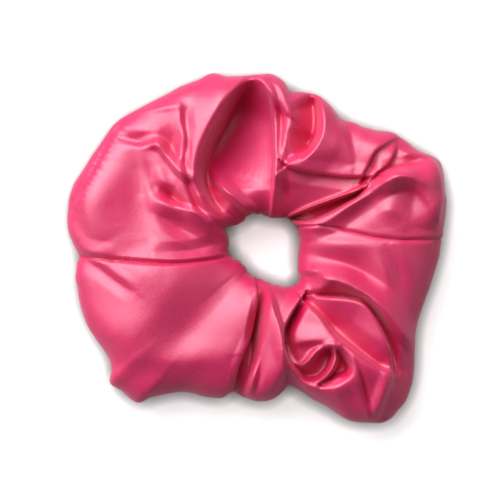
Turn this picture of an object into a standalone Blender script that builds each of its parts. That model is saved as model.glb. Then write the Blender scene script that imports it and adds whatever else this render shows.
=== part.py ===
"""Satin scrunchie: a gathered tube of cloth round a loop of flat elastic, lying on a table.

Metres, +Z up. The ring lies in XY with its base at z = 0 and the origin under the middle of its box.
The tube's two ends meet at the closing seam, on +X. The ring is cut there and on -X into a back half
(+Y) and a front half (-Y), which slide apart along Y as the elastic stretches.
"""

import math

import bmesh
import bpy
from mathutils import Vector

MM = 0.001

# Ring outline. Each lobe adds to the outer radius, the hole's radius and the height at its angle.
OUTER_RADIUS = 76.0 * MM
HOLE_RADIUS = 15.0 * MM
TUBE_HEIGHT = 31.0 * MM
RING_CENTRE = (2.9 * MM, -0.25 * MM)
LOBES_MM = (
    # angle in degrees, outer radius, hole radius, height
    (0, -3, -1, -4),
    (15, 3, -1, 0),
    (30, 3, 0, 1),
    (45, -6, 0, 2),
    (60, -12, -1, 4),
    (75, -8, -2, 3),
    (90, -3, -1, 5),
    (105, 0, 0, 4),
    (120, 1, 0, 1),
    (135, 4, 0, -4),
    (150, 7, 2, -6),
    (165, 9, 2, -5),
    (180, 3, 1, -2),
    (195, 6, -1, -1),
    (210, 5, -3, 0),
    (225, 10, -3, -2),
    (240, -5, -2, 0),
    (255, -12, -2, 3),
    (270, -12, -1, 3),
    (285, -14, 0, 1),
    (300, 9, 3, 3),
    (315, 10, 4, 4),
    (330, -4, 0, 1),
    (345, -6, -1, -2),
)

# Cloth tube.
WALL = 1.2 * MM
EDGE_HEIGHT = 10.0 * MM
BASE_INSET = 8.0 * MM
CROWN_FULLNESS = 0.8
SEAM_ALLOWANCE = 6.0 * MM
SEAM_ALLOWANCE_THICKNESS = 1.0 * MM
CLOSING_SEAM_DEPTH = 1.2 * MM
CLOSING_SEAM_ANGLE = 10.0
GATHERS = 18
GATHER_HEIGHT = 1.4 * MM

# Elastic, a flat strip whose ends lap over each other and are sewn.
ELASTIC_INSET = 9.5 * MM
ELASTIC_WIDTH = 6.0 * MM
ELASTIC_THICKNESS = 1.0 * MM
ELASTIC_LAP = 12.0 * MM
ELASTIC_LAP_ANGLE = 114.0
ELASTIC_RISE = 1.0 * MM

# Sewing thread.
THREAD_RADIUS = 0.22 * MM
STITCH_INSET = 3.0 * MM
CLOSING_STITCH_SHARE = 0.3
ZIGZAG_POINTS = 9
ZIGZAG_MARGIN = 1.0 * MM

CLEARANCE = 0.3 * MM
STATIONS_PER_HALF = 36
CROWN_STEPS = 10
EDGE_STEPS = 3

# Colours are linear RGB, then roughness.
SATIN_PINK = ((0.80, 0.10, 0.24), 0.35)
THREAD_PINK = ((0.72, 0.09, 0.20), 0.55)
ELASTIC_WHITE = ((0.82, 0.80, 0.77), 0.80)


def clear_scene():
    """Remove every object of the scene."""
    for obj in list(bpy.data.objects):
        bpy.data.objects.remove(obj, do_unlink=True)


def make_material(name, finish):
    """Return a Principled material with a colour and a roughness."""
    colour, roughness = finish
    material = bpy.data.materials.new(name)
    material.use_nodes = True
    shader = material.node_tree.nodes["Principled BSDF"]
    shader.inputs["Base Color"].default_value = (*colour, 1.0)
    shader.inputs["Roughness"].default_value = roughness
    shader.inputs["Metallic"].default_value = 0.0
    return material


def add_object(name, data, material):
    """Link an object for data with its material, standing at the ring's centre."""
    obj = bpy.data.objects.new(name, data)
    obj.location = (*RING_CENTRE, 0.0)
    bpy.context.scene.collection.objects.link(obj)
    data.materials.append(material)
    return obj


def lobe_values(angle):
    """Return the lobes' three offsets at an angle, on a smooth closed curve through the table."""
    count = len(LOBES_MM)
    place = (angle % 360.0) / 360.0 * count
    first = int(place) % count
    t = place - int(place)
    rows = [LOBES_MM[(first + k) % count][1:] for k in (-1, 0, 1, 2)]
    return [
        0.5 * MM * (
            2 * b + (c - a) * t + (2 * a - 5 * b + 4 * c - d) * t**2 + (3 * b - a - 3 * c + d) * t**3
        )
        for a, b, c, d in zip(*rows)
    ]


def ring_size(angle, inset=0.0):
    """Return hole radius, outer radius, base height and top height of the tube, shrunk by an inset."""
    outer, hole, height = lobe_values(angle)
    from_seam = abs((angle + 180.0) % 360.0 - 180.0)
    inset += CLOSING_SEAM_DEPTH * max(0.0, 1.0 - from_seam / CLOSING_SEAM_ANGLE)
    return (
        HOLE_RADIUS + hole + inset,
        OUTER_RADIUS + outer - inset,
        inset,
        TUBE_HEIGHT + height - inset,
    )


def gather_lift(angle, share):
    """Return how far a gather lifts the crown: most at the hole (share 1), none at the outer edge."""
    return GATHER_HEIGHT * math.cos(math.radians(angle) * GATHERS) * share * math.sin(share * math.pi) ** 0.5


def crown_points(angle, inset, start_height):
    """Return (radius, height) points over the top of the tube, from its outer edge to the hole."""
    hole, outer, _, top = ring_size(angle, inset)
    middle, half = (hole + outer) / 2, (outer - hole) / 2
    points = []
    for step in range(CROWN_STEPS + 1):
        share = step / CROWN_STEPS
        turn = math.pi * share
        rise = math.sin(turn) ** CROWN_FULLNESS if 0 < step < CROWN_STEPS else 0.0
        low = start_height * (1 - share) + EDGE_HEIGHT * share
        points.append((middle + half * math.cos(turn), low + (top - low) * rise + gather_lift(angle, share)))
    return points


def base_points(angle, inset, end_height):
    """Return (radius, height) points under the tube, from below the hole's edge to the outer edge."""
    hole, outer, base, _ = ring_size(angle, inset)
    points = []
    for step in range(1, EDGE_STEPS + 1):
        turn = math.pi / 2 * step / EDGE_STEPS
        points.append((
            hole + BASE_INSET * (1 - math.cos(turn)),
            base + (EDGE_HEIGHT - base) * (1 - math.sin(turn)),
        ))
    for step in range(EDGE_STEPS):
        turn = math.pi / 2 * step / EDGE_STEPS
        points.append((
            outer - BASE_INSET * (1 - math.sin(turn)),
            base + (end_height - base) * (1 - math.cos(turn)),
        ))
    return points


def outer_section(angle, inset=0.0):
    """Return the closed outline of the tube's outside at an angle."""
    return crown_points(angle, inset, EDGE_HEIGHT) + base_points(angle, inset, EDGE_HEIGHT)


def cavity_section(angle):
    """Return the closed outline of the tube's inside, with the seam allowance standing into it."""
    over = EDGE_HEIGHT + SEAM_ALLOWANCE_THICKNESS / 2
    under = EDGE_HEIGHT - SEAM_ALLOWANCE_THICKNESS / 2
    outer = ring_size(angle, WALL)[1]
    allowance = [
        (outer, under),
        (outer - SEAM_ALLOWANCE, under),
        (outer - SEAM_ALLOWANCE, over),
    ]
    return crown_points(angle, WALL, over) + base_points(angle, WALL, under) + allowance


def polar_point(angle, radius, height):
    """Return the point at an angle in degrees, a radius and a height."""
    turn = math.radians(angle)
    return Vector((radius * math.cos(turn), radius * math.sin(turn), height))


def half_angles(start):
    """Return the angles of a half ring's stations."""
    return [start + 180.0 * step / STATIONS_PER_HALF for step in range(STATIONS_PER_HALF + 1)]


def loft_mesh(name, rings):
    """Return a closed mesh through rings of points, with flat ends."""
    shape = bmesh.new()
    rows = [[shape.verts.new(point) for point in ring] for ring in rings]
    for row, after in zip(rows, rows[1:]):
        for k in range(len(row)):
            following = (k + 1) % len(row)
            shape.faces.new((row[k], row[following], after[following], after[k]))
    shape.faces.new(rows[0])
    shape.faces.new(rows[-1])
    bmesh.ops.recalc_face_normals(shape, faces=shape.faces)
    mesh = bpy.data.meshes.new(name)
    shape.to_mesh(mesh)
    shape.free()
    return mesh


def add_cover_half(name, start, side, material):
    """Add half of the cloth tube: its outside, less the cavity that runs through it."""
    angles = half_angles(start)
    gap = Vector((0.0, side * CLEARANCE / 2, 0.0))
    outside = [[polar_point(a, r, z) + gap for r, z in outer_section(a)] for a in angles]
    inside = [[polar_point(a, r, z) + gap for r, z in cavity_section(a)] for a in angles]
    run_out = Vector((0.0, -side * WALL, 0.0))
    inside = [[p + run_out for p in inside[0]], *inside, [p + run_out for p in inside[-1]]]
    cavity = add_object(name + "_cavity", loft_mesh(name + "_cavity", inside), material)
    cavity.hide_render = True
    cavity.display_type = "WIRE"
    cover = add_object(name, loft_mesh(name, outside), material)
    cut = cover.modifiers.new("cavity", "BOOLEAN")
    cut.operation = "DIFFERENCE"
    cut.object = cavity
    cover.data.shade_smooth()
    cover.data.set_sharp_from_angle(angle=math.radians(50))


def elastic_radius(angle):
    """Return the strip's mid radius at an angle counted on from its start, where its ends lap."""
    lap = math.degrees(ELASTIC_LAP / elastic_loop_radius())
    lift = (ELASTIC_THICKNESS + CLEARANCE) * (360.0 + lap) / 360.0 + CLEARANCE / 2
    share = (angle - ELASTIC_LAP_ANGLE) / (360.0 + lap)
    return elastic_loop_radius() + lift * (share - 0.5)


def elastic_loop_radius():
    """Return the elastic's radius round the hole."""
    return HOLE_RADIUS + ELASTIC_INSET


def elastic_rings(first, last, side):
    """Return the strip's cross-sections from one angle to another."""
    steps = max(4, round((last - first) / 7.5))
    low = EDGE_HEIGHT + ELASTIC_RISE - ELASTIC_WIDTH / 2
    gap = Vector((0.0, side * CLEARANCE / 2, 0.0))
    rings = []
    for step in range(steps + 1):
        angle = first + (last - first) * step / steps
        middle = elastic_radius(angle)
        corners = (
            (middle - ELASTIC_THICKNESS / 2, low),
            (middle + ELASTIC_THICKNESS / 2, low),
            (middle + ELASTIC_THICKNESS / 2, low + ELASTIC_WIDTH),
            (middle - ELASTIC_THICKNESS / 2, low + ELASTIC_WIDTH),
        )
        rings.append([polar_point(angle, r, z) + gap for r, z in corners])
    return rings


def add_elastic(material):
    """Add the elastic: its two lapped ends in the back half, and the strip through the front half."""
    lap = math.degrees(ELASTIC_LAP / elastic_loop_radius())
    runs = {
        "elastic_inner_end": (ELASTIC_LAP_ANGLE, 180.0, 1),
        "elastic_front": (180.0, 360.0, -1),
        "elastic_outer_end": (360.0, 360.0 + ELASTIC_LAP_ANGLE + lap, 1),
    }
    for name, (first, last, side) in runs.items():
        add_object(name, loft_mesh(name, elastic_rings(first, last, side)), material)


def add_thread(name, points, material):
    """Add a run of sewing thread through points."""
    curve = bpy.data.curves.new(name, "CURVE")
    curve.dimensions = "3D"
    curve.bevel_depth = THREAD_RADIUS
    curve.bevel_resolution = 1
    curve.use_fill_caps = True
    spline = curve.splines.new("POLY")
    spline.points.add(len(points) - 1)
    for slot, point in zip(spline.points, points):
        slot.co = (*point, 1.0)
    add_object(name, curve, material)


def add_long_seam_threads(name, start, side, material):
    """Add the needle and bobbin threads on the two faces of the seam allowance, through half the ring."""
    reach = SEAM_ALLOWANCE_THICKNESS / 2 + CLEARANCE + THREAD_RADIUS
    gap = Vector((0.0, side * CLEARANCE / 2, 0.0))
    for thread, height in (("needle", EDGE_HEIGHT + reach), ("bobbin", EDGE_HEIGHT - reach)):
        points = [
            polar_point(a, ring_size(a, WALL)[1] - STITCH_INSET, height) + gap for a in half_angles(start)
        ]
        add_thread(f"long_seam_{thread}_thread_{name}", points, material)


def between_stations(section, share):
    """Return an outline that lies a share of the way from the seam's station to the next one."""
    step = 180.0 / STATIONS_PER_HALF
    gap = Vector((0.0, CLEARANCE / 2, 0.0))
    pairs = zip(section(0.0), section(step))
    return [polar_point(0.0, *a).lerp(polar_point(step, *b), share) + gap for a, b in pairs]


def add_closing_seam_threads(material):
    """Add the two threads that close the tube's ends on +X, one outside its wall and one inside."""
    standing = CLEARANCE + THREAD_RADIUS
    outside = between_stations(lambda a: outer_section(a, -standing), CLOSING_STITCH_SHARE)
    inside = between_stations(lambda a: crown_points(a, WALL + standing, EDGE_HEIGHT), CLOSING_STITCH_SHARE)
    allowance_end = ring_size(0.0, WALL)[1] - SEAM_ALLOWANCE - standing
    add_thread("closing_seam_needle_thread", outside, material)
    add_thread("closing_seam_bobbin_thread", [p for p in inside if p.x < allowance_end], material)


def add_elastic_threads(material):
    """Add the zigzag of the needle and bobbin threads on the two faces of the lapped elastic."""
    lap = math.degrees(ELASTIC_LAP / elastic_loop_radius())
    margin = math.degrees(ZIGZAG_MARGIN / elastic_loop_radius())
    middle = EDGE_HEIGHT + ELASTIC_RISE
    swing = ELASTIC_WIDTH / 2 - ZIGZAG_MARGIN
    standing = ELASTIC_THICKNESS / 2 + CLEARANCE + THREAD_RADIUS
    gap = Vector((0.0, CLEARANCE / 2, 0.0))
    for thread, turn, stand in (("needle", 360.0, standing), ("bobbin", 0.0, -standing)):
        points = []
        for k in range(ZIGZAG_POINTS):
            angle = ELASTIC_LAP_ANGLE + margin + (lap - 2 * margin) * k / (ZIGZAG_POINTS - 1)
            height = middle + swing * (1 if k % 2 else -1)
            points.append(polar_point(angle, elastic_radius(angle + turn) + stand, height) + gap)
        add_thread(f"elastic_lap_{thread}_thread", points, material)


def main():
    """Build the scrunchie."""
    clear_scene()
    satin = make_material("satin", SATIN_PINK)
    thread = make_material("thread", THREAD_PINK)
    elastic = make_material("elastic", ELASTIC_WHITE)
    for name, start, side in (("back", 0.0, 1), ("front", 180.0, -1)):
        add_cover_half("cover_" + name, start, side, satin)
        add_long_seam_threads(name, start, side, thread)
    add_closing_seam_threads(thread)
    add_elastic(elastic)
    add_elastic_threads(thread)


main()
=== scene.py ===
"""Looks of a satin scrunchie: its gathered cover, its elastic, its sewing thread and the studio."""

import logging
import math
from dataclasses import dataclass, field
from enum import Enum

import bpy
import numpy as np
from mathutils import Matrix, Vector, noise


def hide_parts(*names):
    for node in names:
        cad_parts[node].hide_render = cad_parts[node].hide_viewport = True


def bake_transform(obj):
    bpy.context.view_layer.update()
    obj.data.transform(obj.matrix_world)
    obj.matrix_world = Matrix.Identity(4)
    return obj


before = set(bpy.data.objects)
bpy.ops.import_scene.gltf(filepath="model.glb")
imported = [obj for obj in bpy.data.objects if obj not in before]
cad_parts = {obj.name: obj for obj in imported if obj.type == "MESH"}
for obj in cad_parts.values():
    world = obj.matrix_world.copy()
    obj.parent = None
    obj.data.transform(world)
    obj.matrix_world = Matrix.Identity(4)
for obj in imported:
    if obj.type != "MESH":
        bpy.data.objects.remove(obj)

Colour = tuple[float, float, float]
Place = tuple[float, float, float]

MM = 0.001
FULL_TURN = 2.0 * math.pi
TINY = 1e-9
CLOTH_MAP = "cloth"
ELASTIC_CENTRE = (2.9, -0.25)
ELASTIC_RADIUS = 24.5
OUTLINE_STEPS = 12
PATH_STEPS = 7
HOLLOW_STEPS = 6
ARCH_STEPS = 720
CREST_ROUNDING = 0.22
FOOT_ROUNDING = 0.10
SLOPE_REACH = 1.55
FOLD_REACH = 2.6
EDGE_SHARE = 0.35
LIP_SHARE = 0.2
WAVE_RATE = 20.0
LOG = logging.getLogger("scrunchie")


class Slot(Enum):
    """The material slots of the part."""

    SATIN = "satin"
    ELASTIC = "elastic"
    THREAD = "thread"


class Crest(Enum):
    """How a fold falls away from its crest."""

    CRISP = "an even slope"
    SOFT = "a round swell"


@dataclass(frozen=True)
class Side:
    """One side of a fold: how far it lifts the cloth at the fold, and how wide that side is, in mm."""

    lift: float
    width: float


@dataclass(frozen=True)
class Fold:
    """A ridge, valley or overlapped edge that runs along a path over the top of the cover, in mm.

    Attributes:
        name: What the fold is.
        path: Points (x, y, strength), where the strength is a share of the lift.
        left: The side on the left, going along the path.
        right: The side on the right.
        edge: How wide the change from one side to the other is.
        tuck: How far the cloth is drawn in under the edge.
        crest: How the fold falls away.
        pucker: How high the seam puckers along it are.
    """

    name: str
    path: tuple[tuple[float, float, float], ...]
    left: Side
    right: Side
    edge: float = 1.0
    tuck: float = 0.0
    crest: Crest = Crest.CRISP
    pucker: float = 0.0


@dataclass(frozen=True)
class Hollow:
    """A pocket between folds: a closed outline in mm, its depth, and how wide its walls are."""

    name: str
    outline: tuple[tuple[float, float], ...]
    depth: float
    wall: float


OUTER_EDGE = (
    (78.5, 4), (80, 14), (80, 24.5), (78.5, 34), (76, 38), (69, 41.5), (61.5, 46.5), (57.5, 49),
    (50, 50), (41.5, 53), (36, 55), (31, 61), (26.5, 64.5), (20.5, 66), (15, 66.5), (11.5, 71),
    (6.5, 73.5), (-0.5, 73.5), (-9, 72.5), (-14.5, 73.5), (-19.5, 73.5), (-24.5, 71), (-32, 68),
    (-42.5, 63), (-53, 57), (-60, 52.5), (-65.5, 44.5), (-72, 35), (-78, 24.5), (-79.5, 15.5),
    (-79, 7), (-75.5, -1), (-74.5, -3.5), (-76, -8), (-75.5, -17.5), (-72, -30), (-67, -39.5),
    (-62.5, -46), (-61, -51), (-61.5, -56.5), (-56.5, -60.5), (-50, -65), (-44.5, -63), (-38, -61.5),
    (-30, -60.5), (-21.5, -62.5), (-14.5, -63), (-9.5, -60.5), (-4.5, -63), (1, -64.5), (6.5, -63.5),
    (12, -60), (14, -58), (18.5, -60), (26, -64.5), (34, -69.5), (40.5, -73), (48, -73.5), (54.5, -73),
    (61, -67.5), (65.5, -58.5), (67, -49), (67, -40.5), (68, -32), (71.5, -21.5), (75, -11),
    (77.5, -2.5),
)
HOLE_EDGE = (
    (17, 8), (15, 11.5), (12, 13), (6.5, 13), (2.5, 14.5), (-2.5, 14.5), (-6, 11), (-10, 9.5),
    (-13, 8.5), (-11.5, 4.5), (-11.5, 0), (-10.5, -3), (-5.5, -6.5), (-2.5, -11), (2.5, -13),
    (9, -15.5), (15, -16), (18.5, -13), (17.5, -8), (18, -0.5), (18.5, 3.5),
)
FOLDS = (
    Fold(
        "flap valley",
        ((-8.5, -9, 0.3), (-14.5, -18.5, 0.9), (-22.5, -28, 1), (-31, -37.5, 0.8), (-38.5, -46, 0.2)),
        left=Side(-1.7, 7.5), right=Side(-1.7, 6.5), crest=Crest.SOFT,
    ),
    Fold(
        "flap swell",
        ((-22, -3, 0.3), (-37, -15, 1), (-45.5, -28, 1), (-54, -37.5, 1), (-62, -45, 0.3)),
        left=Side(4.4, 10), right=Side(4.4, 16), crest=Crest.SOFT,
    ),
    Fold(
        "flap corner crease",
        ((-74, -2.5, 0.6), (-69, -5, 1), (-63, -8.5, 1), (-57, -13, 1), (-49.5, -18.5, 0.1)),
        left=Side(1.4, 2.6), right=Side(-3, 3.4), edge=2,
    ),
    Fold(
        "flap upper roll",
        ((-60.5, -9, 0.3), (-48.5, -10, 1), (-38, -9, 0.2)),
        left=Side(1.6, 7), right=Side(1.6, 7), crest=Crest.SOFT,
    ),
    Fold(
        "flap right roll",
        ((-4, -11.5, 0.6), (-3.5, -21.5, 1), (-5.5, -34, 0.8), (-9, -47, 0.2)),
        left=Side(1.8, 2.4), right=Side(1.8, 7), crest=Crest.SOFT,
    ),
    Fold(
        "flap right edge",
        (
            (-10.5, -62, 1), (-6.5, -47, 1), (-2, -36, 1), (0.5, -21.5, 1), (0, -15, 1),
            (-4.5, -7.5, 1), (-10.5, -3.5, 0.4),
        ),
        left=Side(1.2, 2), right=Side(-7, 3.4), edge=0.8, tuck=1.6,
    ),
    Fold(
        "left groove",
        (
            (-77.5, -2.5, 0.8), (-69.5, -3.5, 1), (-61.5, -4.5, 1), (-47, -5.5, 1), (-34, -6, 1),
            (-22, -5, 1), (-10, -3, 0.8),
        ),
        left=Side(-2.6, 0.8), right=Side(-2.6, 0.8), edge=0.6, tuck=0.7,
    ),
    Fold(
        "left panel roll",
        ((-78.5, 11, 0.5), (-76.5, 4.5, 1), (-72, 0.5, 1), (-65.5, -1.5, 1), (-58, -2.5, 0.1)),
        left=Side(1.8, 2.6), right=Side(1.8, 2.6),
    ),
    Fold(
        "left panel hem shade",
        ((-44.5, -1.5, 0), (-30, -1, 1), (-21.5, 0.5, 1), (-14.5, 2.5, 0.3)),
        left=Side(-2.2, 2.4), right=Side(-2.2, 2.4),
    ),
    Fold(
        "left streak valley",
        ((-53, 41.5, 0.3), (-49.5, 32, 1), (-47.5, 19.5, 1), (-44.5, 5, 0.3)),
        left=Side(-2.4, 3), right=Side(-2.4, 8), crest=Crest.SOFT,
    ),
    Fold(
        "left streak ridge",
        ((-67, 38, 0.3), (-70, 26.5, 1), (-69.5, 15.5, 1), (-63, 2.5, 0.3)),
        left=Side(4.2, 9.5), right=Side(4.2, 5.5), crest=Crest.SOFT,
    ),
    Fold(
        "left second valley",
        ((-46, 37, 0.2), (-43.5, 29, 1), (-41, 22, 0.2)),
        left=Side(-1.4, 2), right=Side(-1.4, 2),
    ),
    Fold(
        "left second ridge",
        ((-41, 35, 0.2), (-38, 28, 1), (-33.5, 25.5, 0.2)),
        left=Side(1.8, 2.6), right=Side(1.8, 2.6),
    ),
    Fold(
        "left short tuck",
        ((-40.5, 25.5, 0.2), (-35.5, 22, 1), (-30, 17, 0.4)),
        left=Side(-4.5, 1.6), right=Side(-3, 2.4),
    ),
    Fold(
        "left tuck lip",
        ((-44.5, 21, 0.2), (-36, 18, 1), (-26, 15, 1), (-14.5, 9.5, 0.6)),
        left=Side(3.2, 1.6), right=Side(3.2, 3),
    ),
    Fold(
        "left lower valley",
        ((-41, 14.5, 0.2), (-32, 8.5, 1), (-21.5, 3.5, 0.2)),
        left=Side(-2.4, 3), right=Side(-2.4, 3),
    ),
    Fold(
        "left hole roll",
        ((-13.5, 7, 0.4), (-12.5, 2, 1), (-13.5, -1.5, 0.4)),
        left=Side(1.8, 2), right=Side(1.8, 2),
    ),
    Fold(
        "brow ridge",
        ((-49.5, 43, 0.1), (-41.5, 43.5, 1), (-37, 38.5, 1), (-32.5, 33, 1), (-28.5, 29.5, 0.7)),
        left=Side(4, 2), right=Side(4, 1.4),
    ),
    Fold(
        "brow pocket",
        ((-57, 47, 0.5), (-52, 45.5, 1), (-47, 44.5, 1), (-41, 45, 0.1)),
        left=Side(-3.6, 2.6), right=Side(-3.6, 1.6),
    ),
    Fold(
        "brow shade",
        ((-40.5, 50, 0.2), (-35.5, 43, 1), (-32, 37, 0.2)),
        left=Side(-2.4, 3.6), right=Side(-2.4, 3.6),
    ),
    Fold(
        "upper left rib",
        ((-54, 57, 0.2), (-41.5, 58.5, 1), (-32.5, 59.5, 0.4)),
        left=Side(1.4, 1.2), right=Side(1.4, 1.2),
    ),
    Fold(
        "upper left crest",
        ((-32, 60.5, 0.3), (-31.5, 52.5, 1), (-30, 45.5, 1), (-29, 38, 1), (-28.5, 31.5, 0.6)),
        left=Side(1.8, 1), right=Side(1.8, 2.4),
    ),
    Fold(
        "upper left facet",
        ((-29, 60, 0.2), (-28.5, 53, 1), (-27.5, 46.5, 0.2)),
        left=Side(-1.6, 1.8), right=Side(-1.6, 1.8),
    ),
    Fold(
        "upper left swell",
        ((-44.5, 60.5, 0.2), (-36, 63.5, 1), (-27, 67.5, 0.4)),
        left=Side(2, 4.5), right=Side(2, 4.5),
    ),
    Fold(
        "seam line",
        (
            (-51, 56, 0.5), (-58.5, 50, 1), (-62.5, 43.5, 1), (-66.5, 36, 1), (-70.5, 29, 1),
            (-75, 23, 1), (-77.5, 17, 0.5),
        ),
        left=Side(-1.2, 1), right=Side(-1.2, 1), pucker=1.1,
    ),
    Fold(
        "top pocket",
        (
            (0.5, 71, 0.05), (-3, 67, 0.5), (-8, 59, 1), (-13.5, 49, 1), (-17.5, 40.5, 0.85),
            (-20, 33, 0.52), (-21, 27, 0.22), (-21, 22, 0),
        ),
        left=Side(-24, 15), right=Side(-24, 2.6),
    ),
    Fold(
        "pocket left rim",
        (
            (2.5, 72.5, 0.5), (-4, 70, 1), (-12.5, 63.5, 1), (-19.5, 52.5, 1), (-24, 42.5, 1),
            (-26, 33.5, 1), (-25, 26, 1), (-22.5, 19, 1), (-17.5, 13, 1), (-12, 10.5, 0.3),
        ),
        left=Side(5, 2.2), right=Side(5, 6),
    ),
    Fold(
        "pocket left groove",
        (
            (-28.5, 46.5, 0.2), (-29, 39.5, 1), (-29, 33.5, 1), (-27.5, 26, 1), (-24.5, 18.5, 1),
            (-20, 13, 0.5),
        ),
        left=Side(-3, 1.5), right=Side(-3, 1.2),
    ),
    Fold(
        "pocket floor ridge",
        ((-19.5, 34, 0.1), (-15, 27, 1), (-9, 21, 1), (-4, 16.5, 1), (-1.5, 14.5, 0.9)),
        left=Side(5, 2.4), right=Side(5, 1.3), edge=0.6,
    ),
    Fold(
        "pocket floor swell",
        ((-7.5, 16.5, 0.6), (-1.5, 15.5, 1), (4, 17, 0.6)),
        left=Side(4.4, 7), right=Side(4.4, 7), crest=Crest.SOFT,
    ),
    Fold(
        "pocket inner rim",
        (
            (1, 71, 0.5), (4, 67.5, 1), (6, 63, 1), (7, 52.5, 1), (7.5, 38, 1), (7, 26, 1),
            (6, 14.5, 0.9),
        ),
        left=Side(5, 3.2), right=Side(0.5, 1.5), edge=0.9,
    ),
    Fold(
        "rim groove",
        ((4, 71.5, 0.3), (8, 66.5, 1), (10, 59, 1), (10.5, 49, 1), (9.5, 39, 0.3)),
        left=Side(-2.2, 1.1), right=Side(-2.2, 1.1),
    ),
    Fold(
        "outer rim",
        ((7.5, 72, 0.4), (12, 65.5, 1), (13.5, 57.5, 1), (13, 47, 1), (11.5, 39, 0.1)),
        left=Side(2.6, 3.2), right=Side(2.6, 2.4), crest=Crest.SOFT,
    ),
    Fold(
        "small pocket",
        ((21.5, 65.5, 0.05), (24, 61, 1), (25, 55, 1), (24.5, 48.5, 1), (21.5, 43, 1), (17, 38.5, 0.1)),
        left=Side(-12, 1.8), right=Side(-12, 6), edge=0.8,
    ),
    Fold(
        "small pocket rim",
        ((27.5, 65.5, 0.4), (27, 59, 1), (27, 52.5, 1), (25, 44.5, 1), (21, 39.5, 1), (14, 35, 0.7)),
        left=Side(4.2, 6), right=Side(4.2, 1.6), edge=0.8,
    ),
    Fold(
        "cheek valley",
        ((35.5, 57.5, 0.3), (38.5, 50, 1), (38, 40.5, 1), (40, 33, 0.1)),
        left=Side(-1.4, 3), right=Side(-1.4, 3),
    ),
    Fold(
        "cheek swell",
        ((44.5, 50, 0.4), (47, 44.5, 1), (43, 36.5, 0.3)),
        left=Side(1.8, 7), right=Side(1.8, 7),
    ),
    Fold(
        "cheek hem",
        ((11, 36, 0.5), (15, 33.5, 1), (20.5, 32, 1), (29, 31, 1), (36.5, 30, 1), (44.5, 30, 0.9)),
        left=Side(1.6, 3), right=Side(-2.6, 3), edge=0.5, tuck=0.6,
    ),
    Fold(
        "pleat one",
        ((44.5, 30, 0.9), (47, 35, 1), (50.5, 41, 1), (58.5, 46, 0.5)),
        left=Side(1.4, 3), right=Side(-2, 2), edge=0.5, tuck=0.6,
    ),
    Fold(
        "pleat two",
        ((46, 26, 0.8), (50.5, 31.5, 1), (55.5, 35.5, 1), (58, 40, 1), (59, 44.5, 0.4)),
        left=Side(1.2, 2), right=Side(-2.4, 2.6), edge=0.5, tuck=0.6,
    ),
    Fold(
        "corner rib",
        ((59, 42, 0.2), (64.5, 39.5, 1), (72, 39, 0.3)),
        left=Side(1.6, 1.2), right=Side(1.6, 1.2),
    ),
    Fold(
        "corner valley",
        ((55.5, 34, 0.5), (64, 35.5, 1), (72, 38.5, 0.2)),
        left=Side(-4, 2.2), right=Side(-4, 2.2),
    ),
    Fold(
        "triangle shade",
        ((10.5, 30.5, 0.4), (11, 23.5, 1), (9.5, 17, 0.4)),
        left=Side(-3, 2.2), right=Side(-3, 2.2),
    ),
    Fold(
        "triangle fall",
        ((14.5, 14.5, 0.7), (23.5, 18, 1), (33.5, 21.5, 1), (43, 25.5, 0.7)),
        left=Side(-5, 11), right=Side(-1, 2),
    ),
    Fold(
        "lip",
        (
            (14.5, 10, 0.4), (22.5, 9, 1), (30.5, 12, 1), (38.5, 17, 1), (45.5, 21.5, 1), (51, 26, 1),
            (56.5, 29, 1), (62, 30, 0.5),
        ),
        left=Side(5, 2.6), right=Side(5, 3.4), edge=0.6,
    ),
    Fold(
        "corner swell",
        ((59.5, 28, 0.7), (66.5, 26, 1), (72, 18.5, 0.5)),
        left=Side(4, 9), right=Side(4, 9), crest=Crest.SOFT,
    ),
    Fold(
        "corner slope",
        ((56.5, 30, 0.5), (64, 28, 1), (69.5, 21, 1), (75, 12.5, 0.4)),
        left=Side(1, 3), right=Side(-2.6, 5), edge=2,
    ),
    Fold(
        "under lip valley",
        ((51, 23.5, 0.6), (45.5, 19, 1), (38.5, 14, 1), (29.5, 9.5, 0.5)),
        left=Side(-3.2, 4), right=Side(-3.2, 4), crest=Crest.SOFT,
    ),
    Fold(
        "seam side swell",
        ((50, 14.5, 0.4), (55.5, 16, 1), (61.5, 13.5, 0.4)),
        left=Side(2.6, 4), right=Side(2.6, 4),
    ),
    Fold(
        "right facet valley",
        ((54, 2.5, 0.2), (59, -9, 1), (61.5, -21.5, 0.1)),
        left=Side(-2.2, 3), right=Side(-2.2, 3),
    ),
    Fold(
        "right seam swell",
        ((21, 5, 0.8), (31, 3.5, 1), (42, 3, 1), (54, 2.5, 0.2)),
        left=Side(0.6, 2), right=Side(2.2, 7), edge=2, crest=Crest.SOFT,
    ),
    Fold(
        "right rim swell",
        ((55.5, 5, 0.6), (57, -5.5, 1), (55.5, -20, 0.4)),
        left=Side(2.4, 9), right=Side(2.4, 9), crest=Crest.SOFT,
    ),
    Fold(
        "arc ridge",
        (
            (22, -10.5, 0.4), (28.5, -12, 1), (38.5, -15, 1), (48.5, -21, 1), (56.5, -29, 1),
            (63, -37.5, 1), (67, -42.5, 0.1),
        ),
        left=Side(6.2, 4.4), right=Side(6.2, 2.2),
    ),
    Fold(
        "hook valley",
        ((19, -11.5, 0.8), (24, -12, 1), (27.5, -10.5, 0.1)),
        left=Side(-5, 1.5), right=Side(-5, 1.5),
    ),
    Fold(
        "hook roll",
        ((19.5, -16, 0.8), (22.5, -18, 1), (27.5, -16.5, 1), (32, -13, 0.1)),
        left=Side(3, 1.5), right=Side(3, 1.5),
    ),
    Fold(
        "petal edge",
        (
            (57, -50.5, 0.3), (56, -42, 1), (51, -31, 1), (45, -23, 1), (38, -20.5, 1), (31, -20, 1),
            (24.5, -19.5, 0.6),
        ),
        left=Side(4.4, 7), right=Side(-7, 2), edge=0.6, tuck=0.6,
    ),
    Fold(
        "petal fold",
        (
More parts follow.
